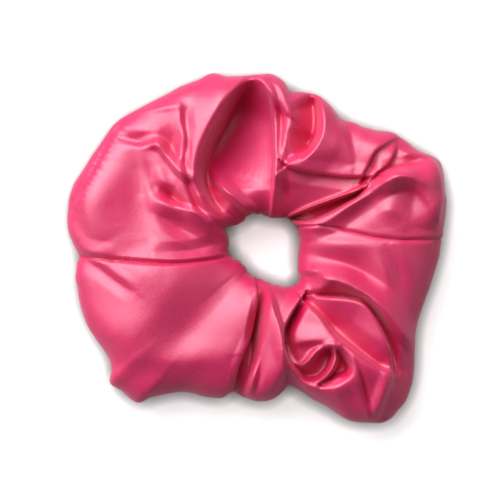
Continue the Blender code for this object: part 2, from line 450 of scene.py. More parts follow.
            (56.5, -51, 0.3), (51, -49, 1), (41.5, -42.5, 1), (33.5, -36, 1), (27.5, -28.5, 1),
            (21, -22.5, 0.7),
        ),
        left=Side(1.4, 4.6), right=Side(-6, 5), edge=1.6, tuck=0.3,
    ),
    Fold(
        "rosette rim",
        (
            (16, -39, 0.3), (24.5, -38, 1), (33, -39.5, 1), (38, -42.5, 1), (40.5, -46.5, 1),
            (41, -51, 1), (38.5, -55, 1), (33, -58, 1), (26, -59, 0.4),
        ),
        left=Side(3.2, 5.4), right=Side(3.2, 2), edge=0.8, crest=Crest.SOFT,
    ),
    Fold(
        "rosette inner lip",
        ((14.5, -49, 0.2), (20, -49, 1), (25.5, -42.5, 1), (32, -40, 0.6)),
        left=Side(3.4, 1.2), right=Side(3.4, 2.2),
    ),
    Fold(
        "rosette divider",
        ((33, -42.5, 0.7), (31, -51, 1), (25.5, -56.5, 0.3)),
        left=Side(3.6, 1.3), right=Side(3.6, 1.3),
    ),
    Fold(
        "rosette left wall",
        ((14.5, -48.5, 0.3), (12, -41, 1), (12, -34, 1), (15, -27.5, 1), (19, -21, 0.7)),
        left=Side(3, 3.2), right=Side(-7, 2.6), edge=0.6, tuck=0.5,
    ),
    Fold(
        "rosette lower lip",
        ((12, -42.5, 0.4), (14.5, -48.5, 1), (17.5, -54, 1), (22, -57.5, 1), (27, -58, 0.2)),
        left=Side(3, 1.4), right=Side(3, 2.4),
    ),
    Fold(
        "lobe crease",
        ((41.5, -47.5, 0.2), (43.5, -55, 1), (46, -64, 1), (48.5, -72, 0.6)),
        left=Side(-3, 1.2), right=Side(1, 3), edge=0.8,
    ),
    Fold(
        "lobe ridge",
        ((56.5, -51, 0.3), (54, -58, 1), (50.5, -68, 1), (49, -73, 0.5)),
        left=Side(3.4, 1.6), right=Side(3.4, 2.6),
    ),
    Fold(
        "lobe tip tuck",
        ((51, -69.5, 0.5), (54, -71, 1), (57.5, -71, 0.2)),
        left=Side(-4, 1.5), right=Side(-4, 1.5),
    ),
    Fold(
        "lobe valley",
        ((59.5, -42.5, 0.3), (61.5, -53, 1), (59, -63.5, 0.3)),
        left=Side(-2.5, 4), right=Side(-2.5, 4),
    ),
    Fold(
        "middle valley",
        ((1, -21, 0.4), (-1.5, -34.5, 1), (-2, -46, 1), (-5.5, -59.5, 0.5)),
        left=Side(-4.5, 2), right=Side(-4.5, 1.6),
    ),
    Fold(
        "middle ridge",
        (
            (3.5, -15.5, 0.4), (6.5, -24, 1), (9.5, -33.5, 1), (11, -42.5, 1), (10.5, -52, 1),
            (6, -62, 0.5),
        ),
        left=Side(5.2, 1.5), right=Side(5.2, 5.4),
    ),
    Fold(
        "middle small ridge",
        ((1, -47, 0.2), (-1.5, -54.5, 1), (-3.5, -61, 0.5)),
        left=Side(2.2, 1.4), right=Side(2.2, 1.4),
    ),
    Fold(
        "middle crease",
        ((2.5, -43.5, 0.1), (1.5, -52, 1), (0, -60.5, 0.4)),
        left=Side(-1.6, 1.2), right=Side(-1.6, 1.2),
    ),
    Fold(
        "top left swell",
        ((-44.5, 51.5, 0.2), (-33, 60.5, 1), (-18.5, 65.5, 0.6)),
        left=Side(3, 9), right=Side(3, 9), crest=Crest.SOFT,
    ),
    Fold(
        "upper mid swell",
        ((32, 58, 0.5), (35.5, 50.5, 1), (38, 41.5, 1), (39.5, 34.5, 0.3)),
        left=Side(2.6, 1.6), right=Side(2.6, 7),
    ),
    Fold(
        "lobe fall",
        ((48.5, -40.5, 0.5), (51, -52, 1), (47, -63.5, 0.4)),
        left=Side(3, 10), right=Side(3, 10), crest=Crest.SOFT,
    ),
    Fold(
        "bump",
        ((52, 27, 0.3), (58, 29.5, 1), (64.5, 29.5, 1), (71.5, 27, 0.3)),
        left=Side(3.8, 4), right=Side(3.8, 3.4),
    ),
    Fold(
        "right rim",
        ((72, 38, 0.3), (76, 32, 1), (77.5, 24.5, 1), (76.5, 15.5, 1), (75, 7, 0.2)),
        left=Side(8.5, 1.6), right=Side(8.5, 6.5),
    ),
    Fold(
        "flap low fall",
        ((-57, -43.5, 0.4), (-44.5, -45, 1), (-27.5, -46, 1), (-14.5, -45, 0.5)),
        left=Side(1.6, 8), right=Side(1.6, 5), crest=Crest.SOFT,
    ),
    Fold(
        "pocket slit",
        ((-21, 32, 0.2), (-19.5, 25.5, 1), (-17, 20, 1), (-12.5, 15.5, 0.2)),
        left=Side(-5, 3), right=Side(-5, 1.6), edge=0.8,
    ),
    Fold(
        "arc valley",
        ((21, -4, 0.8), (29.5, -5.5, 1), (39.5, -8, 1), (48.5, -14.5, 1), (55.5, -21.5, 0.2)),
        left=Side(-2.6, 5), right=Side(-2.6, 3.6), crest=Crest.SOFT,
    ),
)
HOLLOWS = (
    Hollow(
        "slot",
        (
            (13.5, 13), (18.5, 15.5), (26, 18.5), (33, 21), (40.5, 23.5), (45.5, 25.5), (43, 21.5),
            (37.5, 18), (31, 14.5), (23.5, 11.5), (18, 11),
        ),
        depth=11, wall=1.2,
    ),
    Hollow(
        "rosette hollow",
        (
            (14.5, -47), (17, -52), (20, -55), (26, -55), (30, -52), (33, -45.5), (32, -41), (27, -42),
            (22, -47), (18, -48.5),
        ),
        depth=5, wall=2.4,
    ),
    Hollow(
        "rosette second hollow",
        (
            (33, -41), (36, -43.5), (39.5, -48.5), (38, -52.5), (33, -54), (27.5, -58), (25.5, -57),
            (30, -52.5), (33.5, -47),
        ),
        depth=5, wall=2.2,
    ),
)


def smooth_step(low: float, high: float, value: np.ndarray | float) -> np.ndarray:
    """0 below low, 1 above high, and an S-shaped ramp between them."""
    t = np.clip((value - low) / (high - low), 0.0, 1.0)
    return t * t * (3.0 - 2.0 * t)


def swell(distance: np.ndarray, reach: float) -> np.ndarray:
    """1 at no distance, dying away roundly over the reach."""
    return np.exp(-((distance / reach) ** 2))


def smooth_curve(points: np.ndarray, steps: int, closed: bool) -> np.ndarray:
    """Runs a Catmull-Rom curve through points.

    Args:
        points: One row for each point, with any number of values.
        steps: How many pieces each stretch between two points is cut into.
        closed: Whether the last point joins the first.

    Returns:
        The points of the curve, one row each.
    """
    count = len(points)
    stretches = count if closed else count - 1
    t = np.linspace(0.0, 1.0, steps, endpoint=False)[:, None]
    rows = []
    for i in range(stretches):
        if closed:
            a, b, c, d = (points[(i + k) % count] for k in (-1, 0, 1, 2))
        else:
            a, b, c, d = (points[min(max(i + k, 0), count - 1)] for k in (-1, 0, 1, 2))
        square = (2 * a - 5 * b + 4 * c - d) * t**2
        cube = (3 * b - a - 3 * c + d) * t**3
        rows.append(0.5 * (2 * b + (c - a) * t + square + cube))
    if not closed:
        rows.append(points[-1:])
    return np.vstack(rows)


def distance_to_path(where: np.ndarray, path: np.ndarray) -> tuple[np.ndarray, ...]:
    """Finds the nearest point of a path to each place.

    Args:
        where: Places, one (x, y) row each.
        path: Points of the path, each (x, y, strength).

    Returns:
        The distance, +1 on the left of the path or -1 on its right, the strength there, the normal on the
        left, and how far along the path that is.
    """
    start, step = path[:-1, :2], np.diff(path[:, :2], axis=0)
    length = np.maximum(np.hypot(step[:, 0], step[:, 1]), TINY)
    best = np.full(len(where), np.inf)
    side = np.ones(len(where))
    strength = np.zeros(len(where))
    normal = np.zeros((len(where), 2))
    run = np.zeros(len(where))
    passed = np.concatenate(((0.0,), np.cumsum(length)))
    for i in range(len(start)):
        away = where - start[i]
        t = np.clip((away @ step[i]) / length[i] ** 2, 0.0, 1.0)
        gap = away - t[:, None] * step[i]
        distance = np.hypot(gap[:, 0], gap[:, 1])
        nearer = distance < best
        best[nearer] = distance[nearer]
        left = np.array((-step[i, 1], step[i, 0])) / length[i]
        side[nearer] = np.where(gap[nearer] @ left >= 0.0, 1.0, -1.0)
        strength[nearer] = (path[i, 2] + t * (path[i + 1, 2] - path[i, 2]))[nearer]
        normal[nearer] = left
        run[nearer] = (passed[i] + t * length[i])[nearer]
    return best, side, strength, normal, run


def fold_shape(distance: np.ndarray, width: float, crest: Crest) -> np.ndarray:
    """Works out how a fold falls away from its crest.

    Args:
        distance: How far each place is from the crest.
        width: The fold's width on that side.
        crest: Whether it is crisp or soft.

    Returns:
        A share of the lift, 1 at the crest.
    """
    if crest is Crest.SOFT:
        return swell(distance, width)
    top = CREST_ROUNDING * width
    slope = 1.0 - (np.hypot(distance, top) - top) / (SLOPE_REACH * width)
    return (slope + np.hypot(slope, FOOT_ROUNDING)) / (1.0 + math.hypot(1.0, FOOT_ROUNDING))


def inside_outline(where: np.ndarray, outline: np.ndarray) -> np.ndarray:
    """Finds which places lie inside a closed outline, by counting crossings.

    Args:
        where: Places, one (x, y) row each.
        outline: Points of the outline, one (x, y) row each.

    Returns:
        One truth value for each place.
    """
    inside = np.zeros(len(where), bool)
    x, y = where[:, 0], where[:, 1]
    for (ax, ay), (bx, by) in zip(outline, np.roll(outline, -1, axis=0)):
        if ay == by:
            continue
        crosses = (ay > y) != (by > y)
        inside ^= crosses & (x < (bx - ax) * (y - ay) / (by - ay) + ax)
    return inside


def ripple(places: np.ndarray, scale: float, shift: float) -> np.ndarray:
    """Works out smooth noise, from about -1 to 1, at each place.

    Args:
        places: One (x, y, z) row each, in mm.
        scale: Size of the ripples, in mm.
        shift: Moves the noise, so that two calls differ.

    Returns:
        One value for each place.
    """
    rows = (places / scale + shift).tolist()
    return np.array([noise.noise(row) for row in rows])


def add_mesh(name: str, points_mm: np.ndarray, faces: list) -> bpy.types.Object:
    """Makes a smooth-shaded mesh object from points in mm.

    Args:
        name: The piece's name.
        points_mm: One (x, y, z) row for each vertex.
        faces: Tuples of vertex numbers.

    Returns:
        The new object, linked to the scene.
    """
    mesh = bpy.data.meshes.new(name)
    mesh.from_pydata((points_mm * MM).tolist(), [], faces)
    mesh.shade_smooth()
    mesh.update()
    piece = bpy.data.objects.new(name, mesh)
    bpy.context.scene.collection.objects.link(piece)
    return piece


def ride_both_halves(piece: bpy.types.Object) -> None:
    """Bakes the piece's placement into its mesh."""
    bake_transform(piece)


def opaque(colour: Colour, share: float = 1.0) -> tuple[float, ...]:
    """The colour times a share, with full alpha."""
    return (*(part * share for part in colour), 1.0)


def grid_faces(columns: int, rows: int, wrap_columns: bool, wrap_rows: bool) -> list:
    """Lists the quads of a grid whose vertices are numbered column by column.

    Args:
        columns: Number of columns.
        rows: Number of vertices in each column.
        wrap_columns: Whether the last column joins the first.
        wrap_rows: Whether the last row joins the first.

    Returns:
        Tuples of four vertex numbers.
    """
    across = columns if wrap_columns else columns - 1
    along = rows if wrap_rows else rows - 1
    faces = []
    for i in range(across):
        a, b = i * rows, (i + 1) % columns * rows
        for j in range(along):
            k = (j + 1) % rows
            faces.append((a + j, b + j, b + k, a + k))
    return faces


class Socket:
    """A shader socket whose arithmetic adds Math nodes."""

    def __init__(self, graph: "Graph", socket: bpy.types.NodeSocket) -> None:
        """Wraps a socket of a graph's node."""
        self.graph = graph
        self.socket = socket

    def _math(self, operation: str, *values: "Socket | float") -> "Socket":
        """Adds a Math node that works on the values."""
        return self.graph.node("ShaderNodeMath", {"operation": operation}, dict(enumerate(values)))

    def __add__(self, other: "Socket | float") -> "Socket":
        """This plus other."""
        return self._math("ADD", self, other)

    __radd__ = __add__

    def __mul__(self, other: "Socket | float") -> "Socket":
        """This times other."""
        return self._math("MULTIPLY", self, other)

    __rmul__ = __mul__

    def __sub__(self, other: "Socket | float") -> "Socket":
        """This minus other."""
        return self._math("SUBTRACT", self, other)

    def __rsub__(self, other: "Socket | float") -> "Socket":
        """Other minus this."""
        return self._math("SUBTRACT", other, self)

    def sine(self) -> "Socket":
        """The sine of this."""
        return self._math("SINE", self)

    def clamped(self) -> "Socket":
        """This, kept from 0 to 1."""
        return self._math("MINIMUM", self._math("MAXIMUM", self, 0.0), 1.0)


class Graph:
    """The node tree of one material."""

    def __init__(self, name: str) -> None:
        """Starts a material with a Principled shader and an output.

        Args:
            name: The material's name.
        """
        self.material = bpy.data.materials.new(name)
        self.material.use_nodes = True
        self.tree = self.material.node_tree
        self.shader = self.tree.nodes["Principled BSDF"]

    def node(
        self, kind: str, settings: dict | None = None, inputs: dict | None = None, output: int | str = 0
    ) -> Socket:
        """Adds a node.

        Args:
            kind: The node's type.
            settings: Its settings, set first.
            inputs: Values or sockets by the input's name or number.
            output: The output that is returned.

        Returns:
            The chosen output, wrapped.
        """
        made = self.tree.nodes.new(kind)
        for key, value in (settings or {}).items():
            setattr(made, key, value)
        for key, value in (inputs or {}).items():
            self.feed(made.inputs[key], value)
        return Socket(self, made.outputs[output])

    def feed(self, target: bpy.types.NodeSocket, value: "Socket | float | tuple") -> None:
        """Links a socket to the target, or sets the target's value.

        Args:
            target: An input of a node.
            value: What it is given.
        """
        if isinstance(value, Socket):
            self.tree.links.new(value.socket, target)
        else:
            target.default_value = value

    def mix(self, share: "Socket | float", low: "Socket | tuple", high: "Socket | tuple") -> Socket:
        """Mixes two colours; a Mix node's colour inputs are numbers 6 and 7, and its colour output is 2."""
        return self.node("ShaderNodeMix", {"data_type": "RGBA"}, {0: share, 6: low, 7: high}, 2)

    def noise(self, vector: Socket, scale: float, detail: float) -> Socket:
        """Adds smooth noise, from 0 to 1."""
        return self.node("ShaderNodeTexNoise", inputs={"Vector": vector, "Scale": scale, "Detail": detail})

    def open_air(self, reach: float, samples: int) -> Socket:
        """Measures how open the surface is, 1 where nothing stands within reach of it, in metres."""
        return self.node("ShaderNodeAmbientOcclusion", {"samples": samples}, {"Distance": reach}, "AO")

    def bump(self, height: Socket, strength: float, depth_mm: float) -> Socket:
        """Turns a height into a normal."""
        inputs = {"Strength": strength, "Distance": depth_mm * MM, "Height": height}
        return self.node("ShaderNodeBump", inputs=inputs)

    def set(self, **values: "Socket | float | tuple") -> None:
        """Sets the shader's inputs.

        Args:
            **values: Values or sockets by the input's name, with its spaces written as underscores.
        """
        for key, value in values.items():
            self.feed(self.shader.inputs[key.replace("_", " ")], value)


@dataclass(frozen=True)
class SatinFinish:
    """Pink satin: a soft directional shine, thick and thin yarns, and a painted shade of deeper red inside
    the folds.
    """

    colour: Colour = (0.64, 0.016, 0.108)
    dark_share: float = 0.72
    dark_start: float = 0.65
    # Painted shade: the darker red for the insides of the folds, how far the occlusion search reaches, and
    # where and how steeply it sets in.
    painted_fold_shade_colour: Colour = (0.58, 0.0, 0.060)
    painted_fold_shade_reach: float = 0.012
    painted_fold_shade_end: float = 0.45
    painted_fold_shade_gain: float = 2.4
    cloud_scale: float = 70.0
    cloud_shade: float = 0.5
    cloud_roughness: float = 0.10
    slub_scale: float = 520.0
    slub_stretch: Place = (1.0, 4.5, 1.0)
    slub_shade: float = 1.8
    slub_roughness: float = 0.36
    slub_bump: float = 11.0
    roughness: float = 0.44
    weave_mm: float = 0.45
    weave_bump_mm: float = 0.02

    def material(self) -> bpy.types.Material:
        """Builds the satin material.

        Returns:
            The material.
        """
        graph = Graph("satin_pink")
        place = graph.node("ShaderNodeTexCoord", output="Object")
        cloth = graph.node("ShaderNodeUVMap", {"uv_map": CLOTH_MAP})
        cloud = graph.noise(place, self.cloud_scale, 3.0)
        stretched = graph.node("ShaderNodeMapping", inputs={"Vector": cloth, "Scale": self.slub_stretch})
        slub = graph.noise(stretched, self.slub_scale, 2.0)
        light = (cloud * self.cloud_shade + slub * self.slub_shade - self.dark_start).clamped()
        plain = graph.mix(light, opaque(self.colour, self.dark_share), opaque(self.colour))
        # Painted shade: where nearby cloth hems the surface in, measured by ambient occlusion, the base
        # colour turns a deeper, darker red.
        unshaded_share = ((graph.open_air(self.painted_fold_shade_reach, 8) - self.painted_fold_shade_end) * self.painted_fold_shade_gain).clamped()
        along = graph.node("ShaderNodeSeparateXYZ", inputs={"Vector": cloth}, output="X")
        across = graph.node("ShaderNodeSeparateXYZ", inputs={"Vector": cloth}, output="Y")
        turns = FULL_TURN / (self.weave_mm * MM)
        weave = (along * turns).sine() * 0.5 + (across * turns + along * (0.5 * turns)).sine() * 0.5
        uneven = (cloud - 0.5) * self.cloud_roughness + (slub - 0.5) * self.slub_roughness
        graph.set(
            Base_Color=graph.mix(unshaded_share, opaque(self.painted_fold_shade_colour), plain),
            Roughness=self.roughness + uneven,
            Normal=graph.bump(weave + slub * self.slub_bump, 0.5, self.weave_bump_mm),
            Specular_IOR_Level=1.0,
            IOR=1.55,
            Specular_Tint=opaque((1.0, 0.90, 0.97)),
            Anisotropic=0.45,
            Sheen_Weight=0.36,
            Sheen_Roughness=0.35,
            Sheen_Tint=opaque((1.0, 0.72, 0.86)),
        )
        return graph.material


@dataclass(frozen=True)
class ThreadFinish:
    """Twisted sewing thread, a little darker than the satin, with painted shade in the grooves of its
    twist.
    """

    colour: Colour = (0.60, 0.05, 0.13)
    dark_share: float = 0.7
    roughness: float = 0.6
    twist_mm: float = 0.35

    def material(self) -> bpy.types.Material:
        """Builds the thread material.

        Returns:
            The material.
        """
        graph = Graph("thread_pink")
        place = graph.node("ShaderNodeTexCoord", output="Object")
        twist = graph.node(
            "ShaderNodeTexWave",
            {"wave_type": "BANDS", "bands_direction": "DIAGONAL"},
            {"Vector": place, "Scale": 1.0 / (self.twist_mm * MM) / WAVE_RATE, "Distortion": 1.0},
            "Fac",
        )
        # Painted shade: the colour darkens in the grooves of the twist, where the bump sinks.
        graph.set(
            Base_Color=graph.mix(twist, opaque(self.colour, self.dark_share), opaque(self.colour)),
            Roughness=self.roughness + (twist - 0.5) * 0.15,
            Normal=graph.bump(twist, 0.4, 0.1),
            Sheen_Weight=0.3,
        )
        return graph.material


@dataclass(frozen=True)
class ElasticFinish:
    """White knitted elastic: matt yarn over rubber, knitted in ribs, with painted shade between the knit
    loops.
    """

    colour: Colour = (0.82, 0.80, 0.76)
    shade: Colour = (0.55, 0.52, 0.48)
    roughness: float = 0.82
    knit_mm: float = 1.1
    fuzz_scale: float = 2500.0

    def material(self) -> bpy.types.Material:
        """Builds the elastic material.

        Returns:
            The material.
        """
        graph = Graph("elastic_white")
        place = graph.node("ShaderNodeTexCoord", output="Object")
        cells = {"Vector": place, "Scale": 1.0 / (self.knit_mm * MM)}
        knit = graph.node("ShaderNodeTexVoronoi", inputs=cells, output="Distance")
        fuzz = graph.noise(place, self.fuzz_scale, 2.0)
        # Painted shade between the knit loops: the colour darkens towards each loop's edge, where the bump
        # sinks, with a little random fuzz tone on top.
        knit_shade_and_fuzz = knit.clamped() * 0.8 + fuzz * 0.1
        graph.set(
            Base_Color=graph.mix(knit_shade_and_fuzz, opaque(self.colour), opaque(self.shade)),
            Roughness=self.roughness + (fuzz - 0.5) * 0.1,
            Normal=graph.bump(1.0 - knit, 0.6, 0.2),
            Sheen_Weight=0.4,
        )
        return graph.material


@dataclass(frozen=True)
class PaperFinish:
    """Matt white paper with a painted contact shadow: its colour and its glow darken where the scrunchie
    stands close to it.
    """

    colour: Colour = (0.70, 0.70, 0.70)
    dark_share: float = 0.985
    grain_scale: float = 400.0
    shadow: Colour = (0.04, 0.04, 0.04)
    shadow_reach: float = 0.0072
    glow: float = 0.62

    def material(self) -> bpy.types.Material:
        """Builds the paper material.

        Returns:
            The material.
        """
        graph = Graph("paper_white")
        place = graph.node("ShaderNodeTexCoord", output="Object")
        grain = graph.noise(place, self.grain_scale, 3.0)
        paper = graph.mix(grain, opaque(self.colour, self.dark_share), opaque(self.colour))
        # Painted contact shadow: ambient occlusion darkens both the paper's colour and its glow close to
        # the scrunchie.
        open_air = graph.open_air(self.shadow_reach, 16)
        unshadowed_share = open_air * open_air
        graph.set(
            Base_Color=graph.mix(unshadowed_share, opaque(self.shadow), paper),
            Roughness=0.9,
            Specular_IOR_Level=0.1,
            Emission_Color=graph.mix(unshadowed_share, opaque((0.0, 0.0, 0.0)), opaque((1.0, 1.0, 1.0))),
            Emission_Strength=self.glow,
        )
        return graph.material


@dataclass(frozen=True)
class Gathers:
    """How the elastic draws the cloth up: waves in a turn, their heights in mm, and reaches in rows."""

    many: float = 46.0
    few: float = 25.0
    drift_size: float = 16.0
    drift_turn: float = 0.10
    drift_flatness: float = 0.35
    wall_many: float = 0.12
    wall_few: float = 0.3
    hole_few: float = 0.25
    under_many: float = 0.5
    under_few: float = 1.3
    upper_wall_rows: float = 16.0
    lower_wall_rows: float = 10.0
    hole_wall_rows: float = 13.0
    under_rows: tuple[int, int] = (2, 9)


@dataclass(frozen=True)
class LongSeam:
    """How the long seam sits: its height, its allowances and how far it draws the cloth in, in mm."""

    height: float = 10.0
    gap: float = 0.7
    allowance: float = 6.0
    allowance_rows: int = 6
    allowance_spread: float = 0.10
    allowance_wave: float = 0.25
    allowance_waves: float = 60.0
    draw: float = 1.3
    draw_reach: float = 1.6
    upper_row_step: float = 0.85
    lower_row_step: float = 1.3
    pucker: float = 0.35
    puckers: float = 118.0


@dataclass(frozen=True)
class ClosingSeam:
    """How the closing seam lies: its direction and slant in degrees, and its dip and allowance in mm."""

    direction: float = 3.1
    slant: float = 32.0
    slant_reach: float = 46.0
    slant_power: float = 3.2
    dip: float = 0.9
    dip_reach: float = 0.8
    dip_columns: int = 9
    turned: int = 4
    apart: float = 0.35


@dataclass
class Cover:
    """The gathered satin tube: one strip of cloth, sewn along its outer edge and closed at one end seam."""

    centre: tuple[float, float] = (4.1, 0.0)
    columns: int = 612
    crown_rows: int = 104
    under_rows: int = 40
    typical_width: float = 57.0
    crown: float = 29.0
    crown_bulge: float = 2.7
    under_bulge: float = 5.0
    floor_gap: float = 0.2
    least_height: float = 4.0
    highest: float = 39.5
    floor_softness: float = 2.5
    top_softness: float = 1.5
    sag: float = 0.30
    sag_size: float = 14.0
    crinkle: float = 0.05
    crinkle_size: float = 5.0
    pucker_spacing: float = 3.0
    pucker_reach: float = 2.8
    elastic_top: float = 15.2
    elastic_reach: float = 5.5
    flat: tuple[float, float] = (0.16, 0.50)
    gathers: Gathers = field(default_factory=Gathers)
    long_seam: LongSeam = field(default_factory=LongSeam)
    closing_seam: ClosingSeam = field(default_factory=ClosingSeam)
    finish: SatinFinish = field(default_factory=SatinFinish)
    strip: np.ndarray | None = None

    def edge_radii(self, outline: tuple, angles: np.ndarray) -> np.ndarray:
        """Measures the distance from the centre to an outline.

        Args:
            outline: Points (x, y) in mm, anticlockwise.
            angles: Directions, in radians.

        Returns:
            One distance in mm for each direction.
        """
        curve = smooth_curve(np.array(outline, float), OUTLINE_STEPS, closed=True) - np.array(self.centre)
        turn = np.arctan2(curve[:, 1], curve[:, 0]) % FULL_TURN
        reach = np.hypot(curve[:, 0], curve[:, 1])
        order = np.argsort(turn)
        return np.interp(angles % FULL_TURN, turn[order], reach[order], period=FULL_TURN)

    def section(self) -> tuple[np.ndarray, np.ndarray]:
        """Goes round the tube once, from the seam over the crown, through the hole and back underneath.

        Returns:
            How far in from the outer edge each row is, as a share, and its height in mm.
        """
        over = self.half_section(self.crown_bulge, self.crown - self.long_seam.height, self.crown_rows)
        under = self.half_section(self.under_bulge, self.floor_gap - self.long_seam.height, self.under_rows)
        both = np.vstack((over, under[-2::-1]))
        return both[:, 0], both[:, 1]

    def half_section(self, bulge: float, rise: float, rows: int) -> np.ndarray:
        """Arches over or under the tube's middle, with its rows evenly spaced.

        Args:
            bulge: How square the arch is.
            rise: How high it goes from the seam, in mm; less than 0 goes down.
            rows: The number of rows.

        Returns:
            One row each of how far in from the outer edge it is, as a share, and its height in mm.
        """
        fine = np.linspace(0.0, math.pi, ARCH_STEPS + 1)
        sweep = np.sign(np.cos(fine)) * np.abs(np.cos(fine)) ** (2.0 / bulge)
        share = 0.5 * (1.0 - sweep)
        height = self.long_seam.height + rise * np.sin(fine) ** (2.0 / bulge)
        step = np.hypot(np.diff(share) * self.typical_width, np.diff(height))
        run = np.concatenate(((0.0,), np.cumsum(step)))
        at = np.linspace(0.0, run[-1], rows)
        return np.column_stack((np.interp(at, run, share), np.interp(at, run, height)))

    def grid(self) -> tuple[np.ndarray, np.ndarray, np.ndarray]:
        """Lays the smooth tube out before any folds.

        Returns:
            The points by column and row, each column's direction, and each row's height share of the crown.
        """
        seam = self.closing_seam
        run = np.linspace(0.0, FULL_TURN, self.columns)
        angles = math.radians(seam.direction) + run
        share, height = self.section()
        from_seam = np.minimum(run, FULL_TURN - run)
        slant = math.radians(seam.slant) * swell(from_seam, math.radians(seam.slant_reach))
        turn = angles[:, None] + slant[:, None] * share[None, :] ** seam.slant_power
        outer = self.edge_radii(OUTER_EDGE, turn)
        inner = self.edge_radii(HOLE_EDGE, turn)
        radius = outer + (inner - outer) * share[None, :]
        points = np.empty((self.columns, len(share), 3))
        points[..., 0] = self.centre[0] + radius * np.cos(turn)
        points[..., 1] = self.centre[1] + radius * np.sin(turn)
        points[..., 2] = height[None, :]
        lift = np.clip((height - self.long_seam.height) / (self.crown - self.long_seam.height), 0.0, 1.0)
        return points, angles, lift

    def fold_cloth(self, points: np.ndarray, lift: np.ndarray) -> None:
        """Works the folds and hollows into the crown.

        Args:
            points: The smooth tube; it is changed.
            lift: Each row's height share of the crown, which fades the folds out towards the edges.
        """
        rows = self.crown_rows
        top = points[:, :rows].reshape(-1, 3)
        fade = np.repeat(np.sqrt(lift[:rows])[None, :], self.columns, axis=0).ravel()
        where = top[:, :2].copy()
        rise = np.zeros(len(top))
        slide = np.zeros((len(top), 2))
        for hollow in HOLLOWS:
            self.press_hollow(hollow, where, rise)
        for fold in FOLDS:
            self.press_fold(fold, where, rise, slide)
        rise += self.sag * ripple(top, self.sag_size, 3.7)
        rise += self.crinkle * ripple(top, self.crinkle_size, 11.3)
        rise *= fade
        top[:, 2] += rise
        self.limit(top, rise)
        top[:, :2] += slide * fade[:, None]
        points[:, :rows] = top.reshape(self.columns, rows, 3)

    def limit(self, top: np.ndarray, rise: np.ndarray) -> None:
        """Stops the folds softly on the elastic below and at the highest place above.

        Args:
            top: The crown's points; their heights are changed.
            rise: How far the folds lifted each point.
        """
        ring = np.hypot(top[:, 0] - ELASTIC_CENTRE[0], top[:, 1] - ELASTIC_CENTRE[1])
        unshadowed_share = swell(ring - ELASTIC_RADIUS, self.elastic_reach)
        floor = self.least_height + (self.elastic_top - self.least_height) * unshadowed_share
        base = np.minimum(floor, top[:, 2] - rise)
        room = np.logaddexp(0.0, (top[:, 2] - base) / self.floor_softness)
        top[:, 2] = base + self.floor_softness * room
        over = np.logaddexp(0.0, (top[:, 2] - self.highest) / self.top_softness)
        top[:, 2] -= over * self.top_softness

    def press_fold(self, fold: Fold, where: np.ndarray, rise: np.ndarray, slide: np.ndarray) -> None:
        """Adds one fold's lift and sideways lap.

        Args:
            fold: The fold.
            where: The points' places, in mm.
            rise: The lift of each point; it is changed.
            slide: The sideways move of each point; it is changed.
        """
        path = smooth_curve(np.array(fold.path, float), PATH_STEPS, closed=False)
        reach = FOLD_REACH * max(fold.left.width, fold.right.width, fold.edge)
        low, high = path[:, :2].min(0) - reach, path[:, :2].max(0) + reach
        unshadowed_share = np.flatnonzero(np.all((where > low) & (where < high), axis=1))
        distance, side, strength, normal, run = distance_to_path(where[unshadowed_share], path)
        offset = distance * side
        left = 0.5 + 0.5 * np.tanh(0.5 * offset / (EDGE_SHARE * fold.edge))
        lift_left = fold.left.lift * fold_shape(distance, fold.left.width, fold.crest)
        lift_right = fold.right.lift * fold_shape(distance, fold.right.width, fold.crest)
        rise[unshadowed_share] += strength * (left * lift_left + (1.0 - left) * lift_right)
        if fold.pucker:
            wave = np.sin(FULL_TURN * run / self.pucker_spacing + 1.7 * np.sin(run * 0.37))
            rise[unshadowed_share] += fold.pucker * strength * wave * swell(distance, self.pucker_reach)
        if fold.tuck:
            pull = -fold.tuck * strength * offset / fold.edge * swell(offset, fold.edge)
            slide[unshadowed_share] += pull[:, None] * normal

    def press_hollow(self, hollow: Hollow, where: np.ndarray, rise: np.ndarray) -> None:
        """Presses one pocket down.

        Args:
            hollow: The pocket.
            where: The points' places, in mm.
            rise: The lift of each point; it is changed.
        """
        outline = smooth_curve(np.array(hollow.outline, float), HOLLOW_STEPS, closed=True)
        ring = np.column_stack((np.vstack((outline, outline[:1])), np.ones(len(outline) + 1)))
        low, high = outline.min(0) - hollow.wall, outline.max(0) + hollow.wall
        unshadowed_share = np.flatnonzero(np.all((where > low) & (where < high), axis=1))
        distance = distance_to_path(where[unshadowed_share], ring)[0]
        signed = np.where(inside_outline(where[unshadowed_share], outline), distance, -distance)
        rise[unshadowed_share] -= hollow.depth * smooth_step(-LIP_SHARE * hollow.wall, hollow.wall, signed)

    def gather(self, points: np.ndarray, angles: np.ndarray) -> None:
        """Puckers the walls and the underside, where the cloth is drawn up on the elastic.

        Args:
            points: The tube; it is changed.
            angles: Each column's direction.
        """
        sizes, rows = self.gathers, points.shape[1]
        row = np.arange(rows)
        outer_wall = swell(row, sizes.upper_wall_rows) + swell(rows - 1 - row, sizes.lower_wall_rows)
        hole_wall = swell(row - self.crown_rows, sizes.hole_wall_rows)
        first, last = (self.crown_rows + step for step in sizes.under_rows)
        below = smooth_step(first, last, row.astype(float)) * (1.0 - outer_wall.clip(0.0, 1.0))
        places = points.reshape(-1, 3) * (1.0, 1.0, sizes.drift_flatness)
        drift = ripple(places, sizes.drift_size, 5.1).reshape(points.shape[:2])
        turn = angles[:, None] + sizes.drift_turn * drift
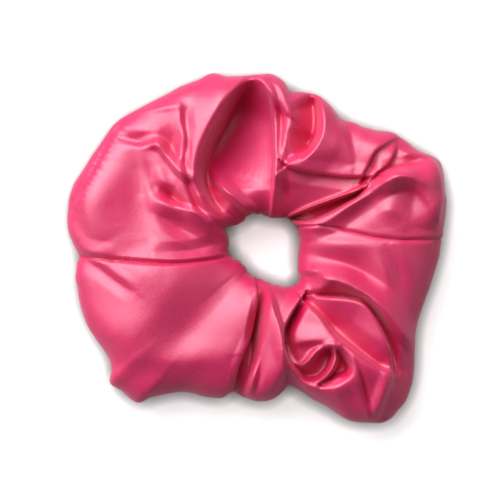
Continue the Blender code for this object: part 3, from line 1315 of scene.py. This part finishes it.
        # Slower waves and odd phases keep the gathers from repeating.
        many = np.sin(turn * sizes.many + 2.6 * drift) * (0.55 + 0.45 * np.sin(turn * 7.0 + 1.0))
        few = np.sin(turn * sizes.few + 3.4 * drift + 0.8) * (0.6 + 0.4 * np.sin(turn * 4.0))
        push = (sizes.wall_many * many + sizes.wall_few * few) * outer_wall
        push += sizes.hole_few * few * hole_wall
        push += (sizes.under_few * (few - 1.0) + sizes.under_many * many) * below
        points += push[..., None] * self.normals(points)
        points[..., 2] = np.maximum(points[..., 2], self.floor_gap)

    def normals(self, points: np.ndarray) -> np.ndarray:
        """Works out the grid's outward normals.

        Args:
            points: Points by column and row.

        Returns:
            One normal for each point.
        """
        along = np.gradient(points, axis=0)
        around = np.gradient(points, axis=1)
        normal = np.cross(around, along)
        length = np.linalg.norm(normal, axis=2, keepdims=True)
        return -normal / np.maximum(length, TINY)

    def pinch_seam(self, points: np.ndarray, angles: np.ndarray) -> None:
        """Draws the long seam in, with a pucker at every few stitches.

        Args:
            points: The tube; it is changed.
            angles: Each column's direction.
        """
        seam, rows = self.long_seam, points.shape[1]
        row = np.arange(rows)
        from_seam = np.minimum(row * seam.upper_row_step, (rows - 1 - row) * seam.lower_row_step)
        pucker = 1.0 + seam.pucker * np.sin(angles * seam.puckers + 2.0 * np.sin(angles * 11.0))
        draw = (seam.draw * pucker)[:, None] * swell(from_seam, seam.draw_reach)
        points[..., :2] += draw[..., None] * self.inward(angles)[:, None, :2]

    def inward(self, angles: np.ndarray) -> np.ndarray:
        """Level directions towards the centre, one (x, y, z) row for each angle."""
        return np.column_stack((-np.cos(angles), -np.sin(angles), np.zeros_like(angles)))

    def turn_in(self, points: np.ndarray, angles: np.ndarray) -> np.ndarray:
        """Adds the seam allowances, turned into the tube side by side.

        Args:
            points: The tube.
            angles: Each column's direction.

        Returns:
            The strip from raw edge to raw edge, by column and row.
        """
        seam, inward, up = self.long_seam, self.inward(angles), np.array((0.0, 0.0, 1.0))
        wave = seam.allowance_wave * np.sin(angles * seam.allowance_waves)
        upper, lower = [], []
        for out in np.linspace(0.0, seam.allowance, seam.allowance_rows + 1)[1:]:
            rise = up * (0.5 * seam.gap + seam.allowance_spread * out)
            sway = np.outer(wave * smooth_step(0.0, 4.0, out), up)
            upper.append(points[:, 0] + inward * out + rise + sway)
            lower.append(points[:, -1] + inward * out - rise + sway)
        return np.concatenate((np.stack(upper[::-1], axis=1), points, np.stack(lower, axis=1)), axis=1)

    def pinch_ends(self, points: np.ndarray) -> None:
        """Draws the cloth in along the closing seam, where the strip's two ends are sewn together.

        Args:
            points: The tube; it is changed.
        """
        seam, normal = self.closing_seam, self.normals(points)
        for end, columns in ((0, range(seam.dip_columns)), (-1, range(-seam.dip_columns, 0))):
            line = points[end].copy()
            for column in columns:
                gap = np.linalg.norm(points[column] - line, axis=1)
                points[column] -= (seam.dip * swell(gap, seam.dip_reach))[:, None] * normal[column]

    def turn_ends(self, strip: np.ndarray) -> np.ndarray:
        """Turns both ends of the strip into the tube at the closing seam.

        Args:
            strip: The strip, by column and row.

        Returns:
            The strip with its end allowances.
        """
        seam, edge_rows = self.closing_seam, self.long_seam.allowance_rows
        inward = strip[0, edge_rows:-edge_rows].mean(axis=0) - strip[0]
        inward /= np.maximum(np.linalg.norm(inward, axis=1, keepdims=True), TINY)
        sides = []
        for end, neighbour in ((0, 1), (-1, -2)):
            apart = (strip[neighbour] - strip[end]) * seam.apart
            sides.append([strip[end] + inward * k + apart * min(k, 2) for k in range(1, seam.turned + 1)])
        first, last = sides
        return np.concatenate((np.stack(first[::-1]), strip, np.stack(last)), axis=0)

    def build(self) -> bpy.types.Object:
        """Builds the cover.

        Returns:
            The cover as one open strip of cloth.
        """
        points, angles, lift = self.grid()
        self.gather(points, angles)
        self.fold_cloth(points, lift)
        self.pinch_seam(points, angles)
        self.pinch_ends(points)
        self.strip = self.turn_ends(self.turn_in(points, angles))
        columns, rows = self.strip.shape[:2]
        faces = grid_faces(columns, rows, wrap_columns=False, wrap_rows=False)
        cover = add_mesh("cover", self.strip.reshape(-1, 3), faces)
        self.lay_cloth_map(cover, columns, rows)
        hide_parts("cover_back", "cover_front")
        ride_both_halves(cover)
        return cover

    def lay_cloth_map(self, cover: bpy.types.Object, columns: int, rows: int) -> None:
        """Gives the cover a map of its flat strip, in metres, for the weave.

        Args:
            cover: The cover.
            columns: Columns of vertices.
            rows: Vertices in each column.
        """
        mesh = cover.data
        corner = np.zeros(len(mesh.loops), np.int32)
        mesh.loops.foreach_get("vertex_index", corner)
        across, along = corner % rows, corner // rows
        spread = np.column_stack((along / (columns - 1) * self.flat[1], across / (rows - 1) * self.flat[0]))
        layer = mesh.uv_layers.new(name=CLOTH_MAP)
        layer.data.foreach_set("uv", spread.ravel().astype(np.float32))

    def dress(self, cover: bpy.types.Object) -> None:
        """Puts the satin on the cover."""
        cover.data.materials.append(self.finish.material())


@dataclass
class Elastic:
    """The knitted elastic loop inside the cover, lapped and sewn at its ends."""

    centre: tuple[float, float] = ELASTIC_CENTRE
    radius: float = ELASTIC_RADIUS
    middle: float = 11.0
    width: float = 6.0
    thickness: float = 1.0
    ribs: int = 5
    stations: int = 420
    lap_angle: float = 114.0
    lap: float = 12.0
    lap_lift: float = 0.75
    rib_depth: float = 0.14
    pinch: float = 0.05
    pinches: float = 140.0
    finish: ElasticFinish = field(default_factory=ElasticFinish)

    def ring(self, share: float) -> tuple[float, float]:
        """Finds the band's direction and its extra radius at a share of its length.

        Args:
            share: 0 at the inner end, 1 at the outer end.

        Returns:
            The angle in radians and how far out the band is lifted, in mm.
        """
        lap = self.lap / self.radius
        start = math.radians(self.lap_angle) - 0.5 * lap
        angle = start + share * (FULL_TURN + lap)
        lift = 0.5 * self.lap_lift * (2.0 * float(smooth_step(0.0, 1.0, share)) - 1.0)
        return angle, lift

    def build(self) -> bpy.types.Object:
        """Builds the elastic as one ribbed band with square ends.

        Returns:
            The band.
        """
        around = 4 * self.ribs + 4
        half_w, half_t = 0.5 * self.width, 0.5 * self.thickness
        profile = []
        for i in range(around):
            t = FULL_TURN * i / around
            up = math.copysign(abs(math.sin(t)) ** 0.5, math.sin(t)) * half_w
            out = math.copysign(abs(math.cos(t)) ** 0.6, math.cos(t)) * half_t
            out *= 1.0 - self.rib_depth + self.rib_depth * math.cos(FULL_TURN * self.ribs * up / self.width)
            profile.append((out, up))
        points = []
        for k in range(self.stations):
            angle, lift = self.ring(k / (self.stations - 1))
            pinch = 1.0 + self.pinch * math.sin(angle * self.pinches)
            points.extend(self.place(angle, lift + out * pinch, up) for out, up in profile)
        band = add_mesh("elastic", np.array(points), rod_faces(self.stations, around))
        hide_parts("elastic_front", "elastic_inner_end", "elastic_outer_end")
        ride_both_halves(band)
        return band

    def place(self, angle: float, out: float, up: float) -> Place:
        """Finds a place by the band's own directions.

        Args:
            angle: The direction from the centre, in radians.
            out: How far outside the band's middle it is, in mm.
            up: How far above its middle it is, in mm.

        Returns:
            The place, in mm.
        """
        radius = self.radius + out
        x = self.centre[0] + radius * math.cos(angle)
        y = self.centre[1] + radius * math.sin(angle)
        return x, y, self.middle + up

    def dress(self, band: bpy.types.Object) -> None:
        """Puts the knitted finish on the band."""
        band.data.materials.append(self.finish.material())


def rod_faces(stations: int, sides: int) -> list:
    """Lists the faces of a rod with closed ends.

    Args:
        stations: The number of sections along it.
        sides: Corners of each section.

    Returns:
        Tuples of vertex numbers.
    """
    faces = grid_faces(stations, sides, wrap_columns=False, wrap_rows=True)
    last = (stations - 1) * sides
    faces.append(tuple(range(sides)))
    faces.append(tuple(last + i for i in reversed(range(sides))))
    return faces


def tube(points: np.ndarray, radius: float, sides: int = 6) -> tuple[np.ndarray, list]:
    """Makes a round tube with closed ends.

    Args:
        points: The tube's centreline, one (x, y, z) row each, in mm.
        radius: Its radius, in mm.
        sides: Corners of its section.

    Returns:
        Its vertices, and its faces as tuples of vertex numbers.
    """
    ahead = np.gradient(points, axis=0)
    ahead /= np.maximum(np.linalg.norm(ahead, axis=1, keepdims=True), TINY)
    up = np.where(np.abs(ahead[:, 2:3]) < 0.9, (0.0, 0.0, 1.0), (1.0, 0.0, 0.0))
    across = np.cross(ahead, up)
    across /= np.linalg.norm(across, axis=1, keepdims=True)
    over = np.cross(across, ahead)
    turn = np.linspace(0.0, FULL_TURN, sides, endpoint=False)[None, :, None]
    ring = np.cos(turn) * across[:, None, :] + np.sin(turn) * over[:, None, :]
    return (points[:, None, :] + radius * ring).reshape(-1, 3), rod_faces(len(points), sides)


@dataclass
class Stitching:
    """The sewing thread: the long seam, the closing seam and the zigzag that joins the elastic."""

    cover: Cover
    elastic: Elastic
    radius: float = 0.2
    stitch: float = 2.6
    gap_share: float = 0.16
    stand: float = 0.3
    seam_inset: int = 3
    stitch_points: int = 5
    seam_side_columns: int = 5
    zigzag_points: int = 9
    zigzag_margin: float = 1.0
    zigzag_gap: float = 0.05
    finish: ThreadFinish = field(default_factory=ThreadFinish)

    def stitches(self, line: np.ndarray) -> list:
        """Cuts a sewn line into single stitches with gaps between them.

        Args:
            line: The sewn line, one (x, y, z) row each, in mm.

        Returns:
            One array of points for each stitch.
        """
        run = np.concatenate(((0.0,), np.cumsum(np.linalg.norm(np.diff(line, axis=0), axis=1))))
        made = []
        for k in range(int(run[-1] // self.stitch)):
            first, last = k + self.gap_share, k + 1.0 - self.gap_share
            at = np.linspace(first * self.stitch, last * self.stitch, self.stitch_points)
            made.append(np.column_stack([np.interp(at, run, line[:, axis]) for axis in range(3)]))
        return made

    def sew(self, name: str, lines: list, replaced: tuple) -> bpy.types.Object:
        """Makes one piece from thread centrelines.

        Args:
            name: The piece's name.
            lines: Centrelines, in mm.
            replaced: The CAD nodes that the piece stands for.

        Returns:
            The thread.
        """
        vertices, faces, count = [], [], 0
        for line in lines:
            points, quads = tube(line, self.radius)
            vertices.append(points)
            faces.extend(tuple(count + i for i in face) for face in quads)
            count += len(points)
        thread = add_mesh(name, np.vstack(vertices), faces)
        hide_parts(*replaced)
        ride_both_halves(thread)
        return thread

    def long_seam(self) -> bpy.types.Object:
        """Sews the two allowances together, all round the ring.

        Returns:
            The thread.
        """
        strip, ends = self.cover.strip, self.cover.closing_seam.turned
        lines = []
        for row, side in ((self.seam_inset, self.stand), (-1 - self.seam_inset, -self.stand)):
            line = strip[ends:-ends, row] + np.array((0.0, 0.0, side))
            lines.extend(self.stitches(line))
        replaced = (
            "long_seam_needle_thread_back",
            "long_seam_needle_thread_front",
            "long_seam_bobbin_thread_back",
            "long_seam_bobbin_thread_front",
        )
        return self.sew("long_seam_stitches", lines, replaced)

    def closing_seam(self) -> bpy.types.Object:
        """Sews the tube's two ends together.

        Returns:
            The thread.
        """
        edge_rows = self.cover.long_seam.allowance_rows
        strip = self.cover.strip[:, edge_rows:-edge_rows]
        lines = []
        for column, side in ((1, self.seam_side_columns), (-2, -self.seam_side_columns)):
            away = strip[column + side] - strip[column]
            away /= np.maximum(np.linalg.norm(away, axis=1, keepdims=True), TINY)
            lines.extend(self.stitches(strip[column] + away * self.stand))
        replaced = ("closing_seam_needle_thread", "closing_seam_bobbin_thread")
        return self.sew("closing_seam_stitches", lines, replaced)

    def elastic_join(self) -> bpy.types.Object:
        """Sews the elastic's lapped ends with a zigzag on each face.

        Returns:
            The thread.
        """
        band = self.elastic
        lap = band.lap / band.radius
        margin = self.zigzag_margin / band.radius
        start = math.radians(band.lap_angle) - 0.5 * lap
        swing = 0.5 * band.width - self.zigzag_margin
        stand = 0.5 * (band.lap_lift + band.thickness) + self.radius + self.zigzag_gap
        lines = []
        for side in (1.0, -1.0):
            corners = []
            for k in range(self.zigzag_points):
                angle = start + margin + (lap - 2.0 * margin) * k / (self.zigzag_points - 1)
                corners.append(band.place(angle, side * stand, swing if k % 2 else -swing))
            lines.append(np.array(corners))
        replaced = ("elastic_lap_needle_thread", "elastic_lap_bobbin_thread")
        return self.sew("elastic_join_stitches", lines, replaced)

    def build(self) -> list:
        """Sews everything.

        Returns:
            The three threads.
        """
        return [self.long_seam(), self.closing_seam(), self.elastic_join()]

    def dress(self, threads: list) -> None:
        """Puts the thread finish on all of it."""
        finish = self.finish.material()
        for thread in threads:
            thread.data.materials.append(finish)


@dataclass(frozen=True)
class SoftBox:
    """A square soft light: where it hangs and its side, in metres, and its power in watts."""

    name: str
    place: Place
    side: float
    watts: float


SOFT_BOXES = (
    SoftBox("key", (-0.42, 0.82, 0.88), 1.20, 31.0),
    SoftBox("left_fill", (-1.12, 0.22, 0.58), 0.80, 8.0),
    SoftBox("right_fill", (1.10, 0.10, 0.60), 0.90, 1.6),
)


@dataclass
class Studio:
    """The white paper, the soft lights and the camera, which looks straight down."""

    view_width: float = 0.210
    distance: float = 1.25
    aim: Place = (-0.0025, -0.0006, 0.018)
    sensor_mm: float = 36.0
    lit_place: Place = (0.0, 0.0, 0.02)
    sky: float = 0.17
    paper_half: float = 3.0
    finish: PaperFinish = field(default_factory=PaperFinish)

    def build(self) -> None:
        """Builds the floor, the lights and the camera."""
        bpy.context.scene.view_settings.view_transform = "Standard"
        self.lay_paper()
        for box in SOFT_BOXES:
            self.hang(box)
        self.fill_sky()
        self.set_camera()

    def lay_paper(self) -> None:
        """Lays a wide sheet of white paper under the object."""
        half = self.paper_half
        corners = [(-half, -half, 0.0), (half, -half, 0.0), (half, half, 0.0), (-half, half, 0.0)]
        mesh = bpy.data.meshes.new("paper")
        mesh.from_pydata(corners, [], [(0, 1, 2, 3)])
        mesh.materials.append(self.finish.material())
        paper = bpy.data.objects.new("paper", mesh)
        bpy.context.scene.collection.objects.link(paper)
        paper.visible_glossy = False

    def hang(self, box: SoftBox) -> None:
        """Hangs a soft box that faces the object.

        Args:
            box: The soft box.
        """
        lamp = bpy.data.lights.new(box.name, "AREA")
        lamp.shape = "SQUARE"
        lamp.size = box.side
        lamp.energy = box.watts
        holder = bpy.data.objects.new(box.name, lamp)
        holder.location = box.place
        aim = Vector(self.lit_place) - Vector(box.place)
        holder.rotation_euler = aim.to_track_quat("-Z", "Y").to_euler()
        bpy.context.scene.collection.objects.link(holder)

    def fill_sky(self) -> None:
        """Fills the room with even white light, which the satin doesn't mirror."""
        world = bpy.data.worlds.new("room")
        bpy.context.scene.world = world
        world.use_nodes = True
        sky = world.node_tree.nodes["Background"]
        sky.inputs["Color"].default_value = (1.0, 1.0, 1.0, 1.0)
        sky.inputs["Strength"].default_value = self.sky
        world.cycles_visibility.glossy = False

    def set_camera(self) -> None:
        """Hangs the camera over the object, looking straight down."""
        camera = bpy.data.cameras.new("camera")
        camera.sensor_width = self.sensor_mm
        camera.lens = self.sensor_mm * self.distance / self.view_width
        holder = bpy.data.objects.new("camera", camera)
        holder.location = (self.aim[0], self.aim[1], self.aim[2] + self.distance)
        bpy.context.scene.collection.objects.link(holder)
        bpy.context.scene.camera = holder


def report(piece: bpy.types.Object) -> None:
    """Logs a piece's name and its size."""
    size = (side / MM for side in piece.dimensions)
    LOG.info("%s: %.1f x %.1f x %.1f mm, %d faces", piece.name, *size, len(piece.data.polygons))


def main() -> None:
    """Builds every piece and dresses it."""
    logging.basicConfig(level=logging.INFO, format="%(name)s: %(message)s")
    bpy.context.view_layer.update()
    cover, elastic = Cover(), Elastic()
    for part in (cover, elastic):
        piece = part.build()
        part.dress(piece)
        report(piece)
    stitching = Stitching(cover, elastic)
    threads = stitching.build()
    stitching.dress(threads)
    for thread in threads:
        report(thread)
    Studio().build()


if __name__ == "__main__":
    main()
